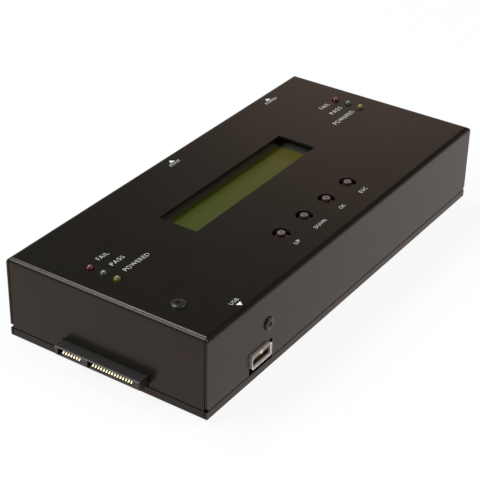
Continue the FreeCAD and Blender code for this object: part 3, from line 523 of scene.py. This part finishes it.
def turned(degrees, axis):
    """The turn about an axis through the origin."""
    return Matrix.Rotation(math.radians(degrees), 4, axis)


# ------------------------------------------------------------------ screws
# the head from its foot up: share of the radius, share of the height
HEAD_PROFILE = ((1.0, 0.35), (0.96, 0.6), (0.86, 0.84), (0.72, 0.97), (0.66, 1.0))
THREAD_PITCH = 0.5 * MM
CASE_SHANK = 1.45 * MM
POST_WIDTH = 5.5 * MM
POST_REACH = POST_WIDTH / math.sqrt(3)


def screw_head(radius, height, recess, depth):
    """A pan head on the XY plane with a cross recess that narrows as it goes down."""
    shape = bmesh.new()
    bmesh.ops.create_circle(shape, segments=48, radius=radius)
    ring = foot = list(shape.edges)
    reach, level = 1.0, 0.0
    for share, rise in HEAD_PROFILE:
        grown = bmesh.ops.extrude_edge_only(shape, edges=ring)["geom"]
        corners, ring = corners_in(grown), edges_in(grown)
        bmesh.ops.scale(shape, vec=(share / reach, share / reach, 1), verts=corners)
        bmesh.ops.translate(shape, vec=(0, 0, (rise - level) * height), verts=corners)
        reach, level = share, rise

    thin, core = 0.15 * recess, 0.24 * recess
    quarter = [(recess / 2, thin), (core, core), (thin, recess / 2)]
    outline = []
    for number in range(4):
        turn = Matrix.Rotation(math.pi / 2 * number, 2)
        outline += [turn @ Vector(point) for point in quarter]
    mouth = closed_loop(shape, [(x, y, height) for x, y in outline])
    bmesh.ops.triangle_fill(shape, edges=ring + mouth, use_beauty=True)
    sunk = bmesh.ops.extrude_edge_only(shape, edges=mouth)["geom"]
    bmesh.ops.scale(shape, vec=(0.62, 0.62, 1), verts=corners_in(sunk))
    bmesh.ops.translate(shape, vec=(0, 0, -depth), verts=corners_in(sunk))
    bmesh.ops.triangle_fill(shape, edges=edges_in(sunk), use_beauty=True)
    bmesh.ops.triangle_fill(shape, edges=foot, use_beauty=True)
    return shape


def screw_shank(radius, length):
    """A threaded shank that hangs below the XY plane."""
    root = 0.85 * radius
    profile = [(0, 0), (root, 0)]
    for number in range(1, int(length / THREAD_PITCH)):
        profile += [(radius, -(number - 0.5) * THREAD_PITCH), (root, -number * THREAD_PITCH)]
    profile += [(0.6 * radius, -length), (0, -length)]
    return lathe(profile, steps=24)


def screw(piece, head_radius, head_height, shank_radius, shank_length, *moves):
    """A screw whose head stands on the XY plane before its moves."""
    recess, depth = 0.9 * head_radius, 0.75 * head_height
    piece.join(screw_head(head_radius, head_height, recess, depth), *moves)
    piece.join(screw_shank(shank_radius, shank_length), *moves)


def case_screws():
    """The screw in the cover, and one in each long side."""
    box_low, box_high = low("top_screw"), high("top_screw")
    centre = middle("top_screw")
    top = Piece("top_screw_detail", "black_screw", stands_for=("top_screw",))
    screw(top, (box_high.x - box_low.x) / 2, box_high.z - COVER_TOP, CASE_SHANK,
          COVER_TOP - box_low.z, turned(28, "Z"), moved(centre.x, centre.y, COVER_TOP))
    top.done()

    box_low, box_high = low("side_screws"), high("side_screws")
    radius = (box_high.z - box_low.z) / 2
    wall = high("top_cover").y
    x, z = box_high.x - radius, box_low.z + radius
    sides = Piece("side_screws_detail", "black_screw", stands_for=("side_screws",))
    for side in SIDES:
        screw(sides, radius, box_high.y - wall, CASE_SHANK, 5 * MM,
              turned(-90 * side, "X"), moved(side * x, side * wall, z))
    sides.done()


def board_screws():
    """Small screws that hold the two boards on their posts."""
    piece = Piece("board_screws", "zinc")
    places = (("board_standoffs", high("main_board").z, 0),
              ("panel_spacers", low("panel_board").z, 180))
    for node, level, flip in places:
        centre = middle(node)
        out_x = high(node).x - POST_REACH
        out_y = high(node).y - POST_WIDTH / 2 - centre.y
        for end in SIDES:
            for side in SIDES:
                screw(piece, 2.3 * MM, 1.4 * MM, 1.2 * MM, 1.5 * MM, turned(flip, "X"),
                      moved(end * out_x, centre.y + side * out_y, level))
    piece.done()


def clinched_heads():
    """Flush heads of the pressed-in posts and of the bracket rivets, under the tray."""
    piece = Piece("clinched_heads", "case_paint")
    under = low("base_tray").z
    post = high("board_standoffs")
    posts = [(end * (post.x - POST_REACH), side * (post.y - POST_WIDTH / 2))
             for end in SIDES for side in SIDES]
    posts.append(tuple(middle("cover_pillar").xy))
    turns = [math.pi * corner / 3 for corner in range(6)]
    hexagon = [(POST_REACH * math.cos(turn), POST_REACH * math.sin(turn)) for turn in turns]
    for x, y in posts:
        piece.join(plate(hexagon, 0.15 * MM, 0.06 * MM), turned(180, "X"), moved(x, y, under))
    rivet = in_mm((0, 0), (1.9, 0), (1.9, 0.1), (1.5, 0.4), (0, 0.5))
    foot = high("side_brackets")
    for side in SIDES:
        for from_end in (9.5 * MM, 16.5 * MM):
            piece.join(lathe(rivet, 24), turned(180, "X"),
                       moved(side * (foot.x - from_end), side * (foot.y - 5 * MM), under))
    piece.done()


# ------------------------------------------------------------------ keys and lamps
def keys():
    """Moulded plungers with a rounded top and a gate mark in its middle."""
    stem = 1.72 * MM
    for key in KEYS:
        node = f"key_{key}"
        box_low, box_high = low(node), high(node)
        centre = middle(node)
        tall = box_high.z - box_low.z
        profile = [(0, 0), (stem, 0)] + rounding(stem, tall, 0.42 * MM)
        profile += [(0.6 * MM, tall), (0.46 * MM, tall - 0.22 * MM), (0, tall - 0.26 * MM)]
        piece = Piece(f"key_{key}_detail", "key_plastic", body=f"key_{key}", stands_for=(node,))
        flange = (box_high.x, box_high.y, box_low.z + 0.7 * MM)
        piece.join(block(box_low, flange, 0.15 * MM))
        piece.join(lathe(profile, 48), moved(centre.x, centre.y, box_low.z))
        piece.done()


def lamps():
    """Domed lenses, and the metal frames that show inside them."""
    dome = 1.15 * MM
    cup = in_mm((0, 0), (0.35, 0), (0.55, 0.5), (0.42, 0.5), (0.2, 0.22), (0, 0.22))
    leads = (in_mm((-0.25, -0.7, 0.2), (0.25, 0, 3.0)),
             in_mm((-0.25, 0.35, 0.2), (0.25, 0.85, 3.3)))
    frames = Piece("lamp_frames", "can_aluminium")
    for end in ENDS:
        for lamp in LAMPS:
            node = f"{end}_{lamp}_led"
            box_low, box_high = low(node), high(node)
            centre = middle(node)
            tall = box_high.z - box_low.z
            radius = (box_high.x - box_low.x) / 2
            arc = [math.pi / 2 * step / 8 for step in range(9)]
            profile = in_mm((0, 0), (1.9, 0), (1.9, 0.9)) + [(radius, 1.0 * MM)]
            profile += [(radius * math.cos(turn), tall - dome * (1 - math.sin(turn)))
                        for turn in arc]
            lens_piece = Piece(f"{end}_{lamp}_lens", SLOTS[node], stands_for=(node,))
            lens_piece.join(lathe(profile, 40), moved(centre.x, centre.y, box_low.z))
            lens_piece.done()

            frames.join(lathe(cup, 16),
                        moved(centre.x, centre.y - 0.35 * MM, box_low.z + 3.0 * MM))
            for lead in leads:
                frames.join(block(*lead, 0.05 * MM), moved(centre.x, centre.y, box_low.z))
    frames.done()


# ------------------------------------------------------------------ sockets
def flared_lip(width, height, corner, wall, depth):
    """A ring in the XZ plane whose front face slopes inwards as it goes back along Y."""
    shape = bmesh.new()
    rings = []
    for inset, back in ((0, 0), (wall, 0.8 * depth), (0.1 * wall, depth)):
        half_x, half_z = width / 2 - inset, height / 2 - inset
        bend = max(corner - inset, 0.2 * MM)
        points = []
        for number, (sign_x, sign_z) in enumerate(((1, 1), (1, -1), (-1, -1), (-1, 1))):
            for step in range(5):
                turn = math.pi / 2 * (number + step / 4)
                points.append((sign_x * (half_x - bend) + bend * math.sin(turn), back,
                               sign_z * (half_z - bend) + bend * math.cos(turn)))
        rings.append(closed_loop(shape, points))
    for first, second in zip(rings, rings[1:] + rings[:1]):
        bmesh.ops.bridge_loops(shape, edges=first + second)
    return shape


def usb_mouth():
    """The flared lip of the port, and a small bright tab put in as a painted highlight."""
    piece = Piece("usb_lip", "bright_steel")
    box_low, box_high = low("usb_shell"), high("usb_shell")
    centre = (box_low.x + box_high.x) / 2
    mouth = box_low.y
    height = 5.72 * MM
    wider = 0.1 * MM
    piece.join(flared_lip(box_high.x - box_low.x + wider, height + wider, 1.0 * MM, 0.6 * MM,
                          0.55 * MM),
               moved(centre, mouth + 0.02 * MM, box_high.z - height / 2))
    # painted highlight: a small bright tab in the middle of the mouth's top edge
    half_highlight_tab = 0.8 * MM
    piece.join(block((centre - half_highlight_tab, mouth + 0.3 * MM, box_high.z - 1.75 * MM),
                     (centre + half_highlight_tab, mouth + 0.6 * MM, box_high.z - 0.4 * MM), 0.08 * MM))
    piece.done()


def usb_clips():
    """Bent contact wires that lie in the grooves of the tongue."""
    piece = Piece("usb_clips", "gold_contact")
    box_low, box_high = low("usb_contacts"), high("usb_contacts")
    first, last = box_low.x + 0.5 * MM, box_high.x - 0.5 * MM
    pitch, half_wire = 2.5 * MM, 0.4 * MM
    for x in (first, first + pitch, last - pitch, last):
        piece.join(block((x - half_wire, box_low.y, box_low.z - 0.25 * MM),
                         (x + half_wire, box_low.y + 2.2 * MM, box_low.z + 0.1 * MM),
                         0.12 * MM))
    piece.done()


def feet():
    """Soft square bumpers with rounded edges."""
    piece = Piece("rubber_bumpers", "foot_rubber", stands_for=("rubber_feet",))
    box_low, box_high = low("rubber_feet"), high("rubber_feet")
    half = 5 * MM
    tall = box_high.z - box_low.z
    sole_share = 0.9
    for sign_x in SIDES:
        for sign_y in SIDES:
            shape = block((-half, -half, -tall), (half, half, 0))
            soles = [corner for corner in shape.verts if corner.co.z < -tall / 2]
            bmesh.ops.scale(shape, vec=(sole_share, sole_share, 1), verts=soles)
            rims = [edge for edge in shape.edges
                    if any(corner.co.z < -tall / 2 for corner in edge.verts)]
            round_off(shape, rims, 0.8 * MM, 4)
            piece.join(shape, moved(sign_x * (box_high.x - half), sign_y * (box_high.y - half),
                                    box_high.z))
    piece.done()


def capacitors():
    """Aluminium cans in printed sleeves, with a rolled groove at the foot."""
    cans = Piece("capacitor_cans", "can_aluminium", stands_for=("capacitors",))
    sleeves = Piece("capacitor_sleeves", "can_sleeve")
    box_low, box_high = low("capacitors"), high("capacitors")
    radius = (box_high.y - box_low.y) / 2
    tall = box_high.z - box_low.z
    can = [(0, 0), (radius - 0.3 * MM, 0)]
    can += rounding(radius - 0.2 * MM, tall - 0.1 * MM, 0.6 * MM)
    can += [(0, tall - 0.1 * MM)]
    lip = radius - 0.9 * MM
    sleeve = [(radius - 0.6 * MM, 0.1 * MM), (radius, 0.4 * MM), (radius, 1.4 * MM),
              (radius - 0.35 * MM, 1.9 * MM), (radius, 2.4 * MM)]
    sleeve += rounding(radius, tall, 0.7 * MM)
    sleeve += [(lip, tall), (lip, tall - 0.15 * MM), (radius - 0.25 * MM, tall - 0.8 * MM),
               (radius - 0.6 * MM, 0.1 * MM)]
    for x in (box_low.x + radius, box_high.x - radius):
        at = moved(x, box_low.y + radius, box_low.z)
        cans.join(lathe(can, 40), at)
        sleeves.join(lathe(sleeve, 40), at)
    cans.done()
    sleeves.done()


# ------------------------------------------------------------------ printing on the cover
INK = 0.03 * MM
# heights of the capitals
LAMP_TEXT = 2.0 * MM
KEY_TEXT = 1.7 * MM
FAR_TEXT = 2.2 * MM
PORT_TEXT = 1.6 * MM
# lines that the words and arrows stand on
KEY_WORDS_Y = -36.1 * MM
USB_X, USB_WORD_Y, USB_ARROW_Y = -74.9 * MM, -39.65 * MM, -42.4 * MM
REAR_WORDS_Y, REAR_ARROWS_Y = 39.0 * MM, 41.2 * MM
# each letter's width with its space, as a share of its height
LETTER_WIDTHS = {"I": 0.39, "F": 0.85, "L": 0.78, "W": 1.32, "O": 1.09, "U": 1.01,
                 "D": 1.01, "N": 1.01, "R": 1.01, "C": 1.01, "T": 0.85}
OTHER_LETTER = 0.93


def word(piece, text, cap, x, y, anchor=0.5):
    """A word in capitals; x is its left end at anchor 0, its middle at 0.5, its right end at 1."""
    curve = bpy.data.curves.new("lettering", "FONT")
    curve.body = text
    curve.extrude = 0.5
    curve.offset = -0.02
    curve.space_character = 1.14
    curve.resolution_u = 4
    lettering = bpy.data.objects.new("lettering", curve)
    data = bpy.data.meshes.new_from_object(lettering)
    shape = bmesh.new()
    shape.from_mesh(data)
    bpy.data.objects.remove(lettering)
    bpy.data.curves.remove(curve)
    bpy.data.meshes.remove(data)
    bmesh.ops.remove_doubles(shape, verts=shape.verts, dist=0.0001)
    across = [corner.co.x for corner in shape.verts]
    upright = [corner.co.y for corner in shape.verts]
    width = cap * sum(LETTER_WIDTHS.get(letter, OTHER_LETTER) for letter in text)
    scale_x = width / (max(across) - min(across))
    scale_y = cap / (max(upright) - min(upright))
    middle_y = (max(upright) + min(upright)) / 2
    piece.join(shape, moved(-min(across), -middle_y, 0.5),
               Matrix.Diagonal((scale_x, scale_y, INK, 1)),
               moved(x - anchor * width, y, COVER_TOP))


def arrow(piece, x, y, way):
    """A solid triangle that points along Y, towards a port on that side."""
    half, reach = 1.45 * MM, 1.9 * MM
    outline = [(-half, -reach / 2), (half, -reach / 2), (0, reach / 2)]
    piece.join(plate(outline, INK), turned(0 if way > 0 else 180, "Z"), moved(x, y, COVER_TOP))


def printing():
    """The words of the keys, lamps and ports, in white ink."""
    piece = Piece("printed_words", "white_ink")
    for key in KEYS:
        word(piece, key.upper(), KEY_TEXT, middle(f"key_{key}").x - 1.9 * MM, KEY_WORDS_Y)
    for lamp in LAMPS:
        near, far = middle(f"source_{lamp}_led"), middle(f"target_{lamp}_led")
        text = lamp.upper()
        word(piece, text, LAMP_TEXT, near.x + 6.5 * MM, near.y + 1.7 * MM, anchor=0)
        word(piece, text, FAR_TEXT, far.x - 5.1 * MM, far.y + 0.8 * MM, anchor=1)
    word(piece, "USB", PORT_TEXT, USB_X, USB_WORD_Y)
    arrow(piece, USB_X, USB_ARROW_Y, -1)
    for text, node in (("PRINT", "print_jack"), ("POWER", "power_jack")):
        x = middle(node).x
        word(piece, text, PORT_TEXT, x, REAR_WORDS_Y)
        arrow(piece, x, REAR_ARROWS_Y, 1)
    piece.done()


case_screws()
board_screws()
clinched_heads()
keys()
lamps()
usb_mouth()
usb_clips()
feet()
capacitors()
printing()


# ------------------------------------------------------------------ camera, floor and light
# the camera's film and lens in millimetres, its place, and its turns in degrees
SENSOR_WIDTH, FOCAL_LENGTH = 36.0, 111.1
CAMERA_PLACE = (-441.05 * MM, -284.58 * MM, 329.94 * MM)
CAMERA_TURNS = (58.754, -1.034, -55.820)
FLOOR_REACH = 6.0
# how much of the floor's brightness is its own where it is seen, mirrored or seen through a lens
FLOOR_GLOW = 0.9
# name, place and size in metres, power in watts, colour
SOFTBOXES = (
    ("overhead", (0.05, 0.6, 1.12), (0.46, 0.34), 7, (0.84, 1.0, 1.0)),
    ("left_wall", (-0.82, 0.68, 0.95), (0.8, 0.6), 14, (0.78, 1.0, 1.08)),
    ("front_wall", (0.35, -0.8, 1.0), (0.5, 0.5), 6, (1.0, 1.0, 1.0)),
)
# the room's brightness by height: 0 is the horizon and all below it, 1 is straight up
WALL_STOPS = ((0.0, (0.5, 0.45, 0.42, 1)), (0.45, (0.12, 0.11, 0.1, 1)),
              (0.6, (0.08, 0.08, 0.07, 1)), (1.0, (0.05, 0.05, 0.05, 1)))
# a warm patch: its bearing and height in degrees, the cosine at its edge, and its brightness
PATCH_BEARING, PATCH_RISE = 28, 21
PATCH_EDGE = 0.975
PATCH_STOPS = ((0.0, (0, 0, 0, 1)), (0.4, (0.0, 0.0, 0.0, 1)),
               (0.8, (0.52, 0.37, 0.3, 1)), (1.0, (0.72, 0.5, 0.42, 1)))


def camera():
    """The three-quarter view from above the source end, with a long lens."""
    data = bpy.data.cameras.new("camera")
    data.sensor_width = SENSOR_WIDTH
    data.lens = FOCAL_LENGTH
    data.clip_end = 20.0
    view = bpy.data.objects.new("camera", data)
    view.location = CAMERA_PLACE
    view.rotation_euler = [math.radians(turn) for turn in CAMERA_TURNS]
    bpy.context.collection.objects.link(view)
    bpy.context.scene.camera = view


def floor():
    """A pale sweep whose open surface reads white to the camera and keeps the contact shadow."""
    mesh = bmesh.new()
    bmesh.ops.create_grid(mesh, x_segments=1, y_segments=1, size=FLOOR_REACH)
    data = bpy.data.meshes.new("floor")
    mesh.to_mesh(data)
    mesh.free()
    ground = bpy.data.objects.new("floor", data)
    bpy.context.collection.objects.link(ground)
    finish = Finish("floor_white", Roughness=0.9, Specular_IOR_Level=0.1)
    finish.set(Base_Color=finish.blend(finish.noise(0.4), (0.95, 0.95, 0.95, 1),
                                       (0.97, 0.97, 0.97, 1)))
    path = finish.add("ShaderNodeLightPath")
    mirrored = finish.out(path, "Is Glossy Ray")
    warmth = finish.blend(mirrored, (1, 1, 1, 1), (1.0, 0.92, 0.88, 1))
    glow = finish.add("ShaderNodeEmission", None, {"Color": warmth, "Strength": 1.0})
    seen = (finish.out(path, "Is Camera Ray") + mirrored
            + finish.out(path, "Is Transmission Ray")).clamped()
    surface = finish.add("ShaderNodeMixShader", None, {
        0: seen * FLOOR_GLOW, 1: finish.out(finish.shader), 2: finish.out(glow)})
    finish.feed(finish.tree.nodes["Material Output"].inputs["Surface"], finish.out(surface))
    data.materials.append(finish.material)


def softbox(name, at, size, power, colour):
    """A rectangular light that points at the origin."""
    data = bpy.data.lights.new(name, "AREA")
    data.color = colour
    data.shape = "RECTANGLE"
    data.size, data.size_y = size
    data.energy = power
    lamp = bpy.data.objects.new(name, data)
    lamp.location = at
    lamp.rotation_euler = (-Vector(at)).to_track_quat("-Z", "Y").to_euler()
    bpy.context.collection.objects.link(lamp)


def room():
    """A dim room with a warm patch low in the far corner."""
    world = bpy.data.worlds.new("studio")
    world.use_nodes = True
    tree = Tree(world.node_tree)
    direction = tree.out(tree.add("ShaderNodeTexCoord"), "Generated")
    height = tree.out(tree.add("ShaderNodeSeparateXYZ", None, {0: direction}), "Z")
    bearing, rise = math.radians(PATCH_BEARING), math.radians(PATCH_RISE)
    patch = (math.cos(rise) * math.cos(bearing), math.cos(rise) * math.sin(bearing),
             math.sin(rise))
    facing = tree.out(tree.add("ShaderNodeVectorMath", {"operation": "DOT_PRODUCT"},
                               {0: direction, 1: patch}), "Value")
    spread = (facing - PATCH_EDGE) / (1 - PATCH_EDGE)
    wall = tree.out(tree.add("ShaderNodeValToRGB", {"stops": WALL_STOPS}, {0: height}))
    warm = tree.out(tree.add("ShaderNodeValToRGB", {"stops": PATCH_STOPS}, {0: spread}))
    both = tree.add("ShaderNodeMix", {"data_type": "RGBA", "blend_type": "ADD"},
                    {"Factor": 1.0, 6: wall, 7: warm})
    tree.feed(world.node_tree.nodes["Background"].inputs["Color"], tree.out(both, 2))
    bpy.context.scene.world = world


camera()
floor()
room()
for row in SOFTBOXES:
    softbox(*row)
bpy.context.scene.view_settings.view_transform = "Standard"
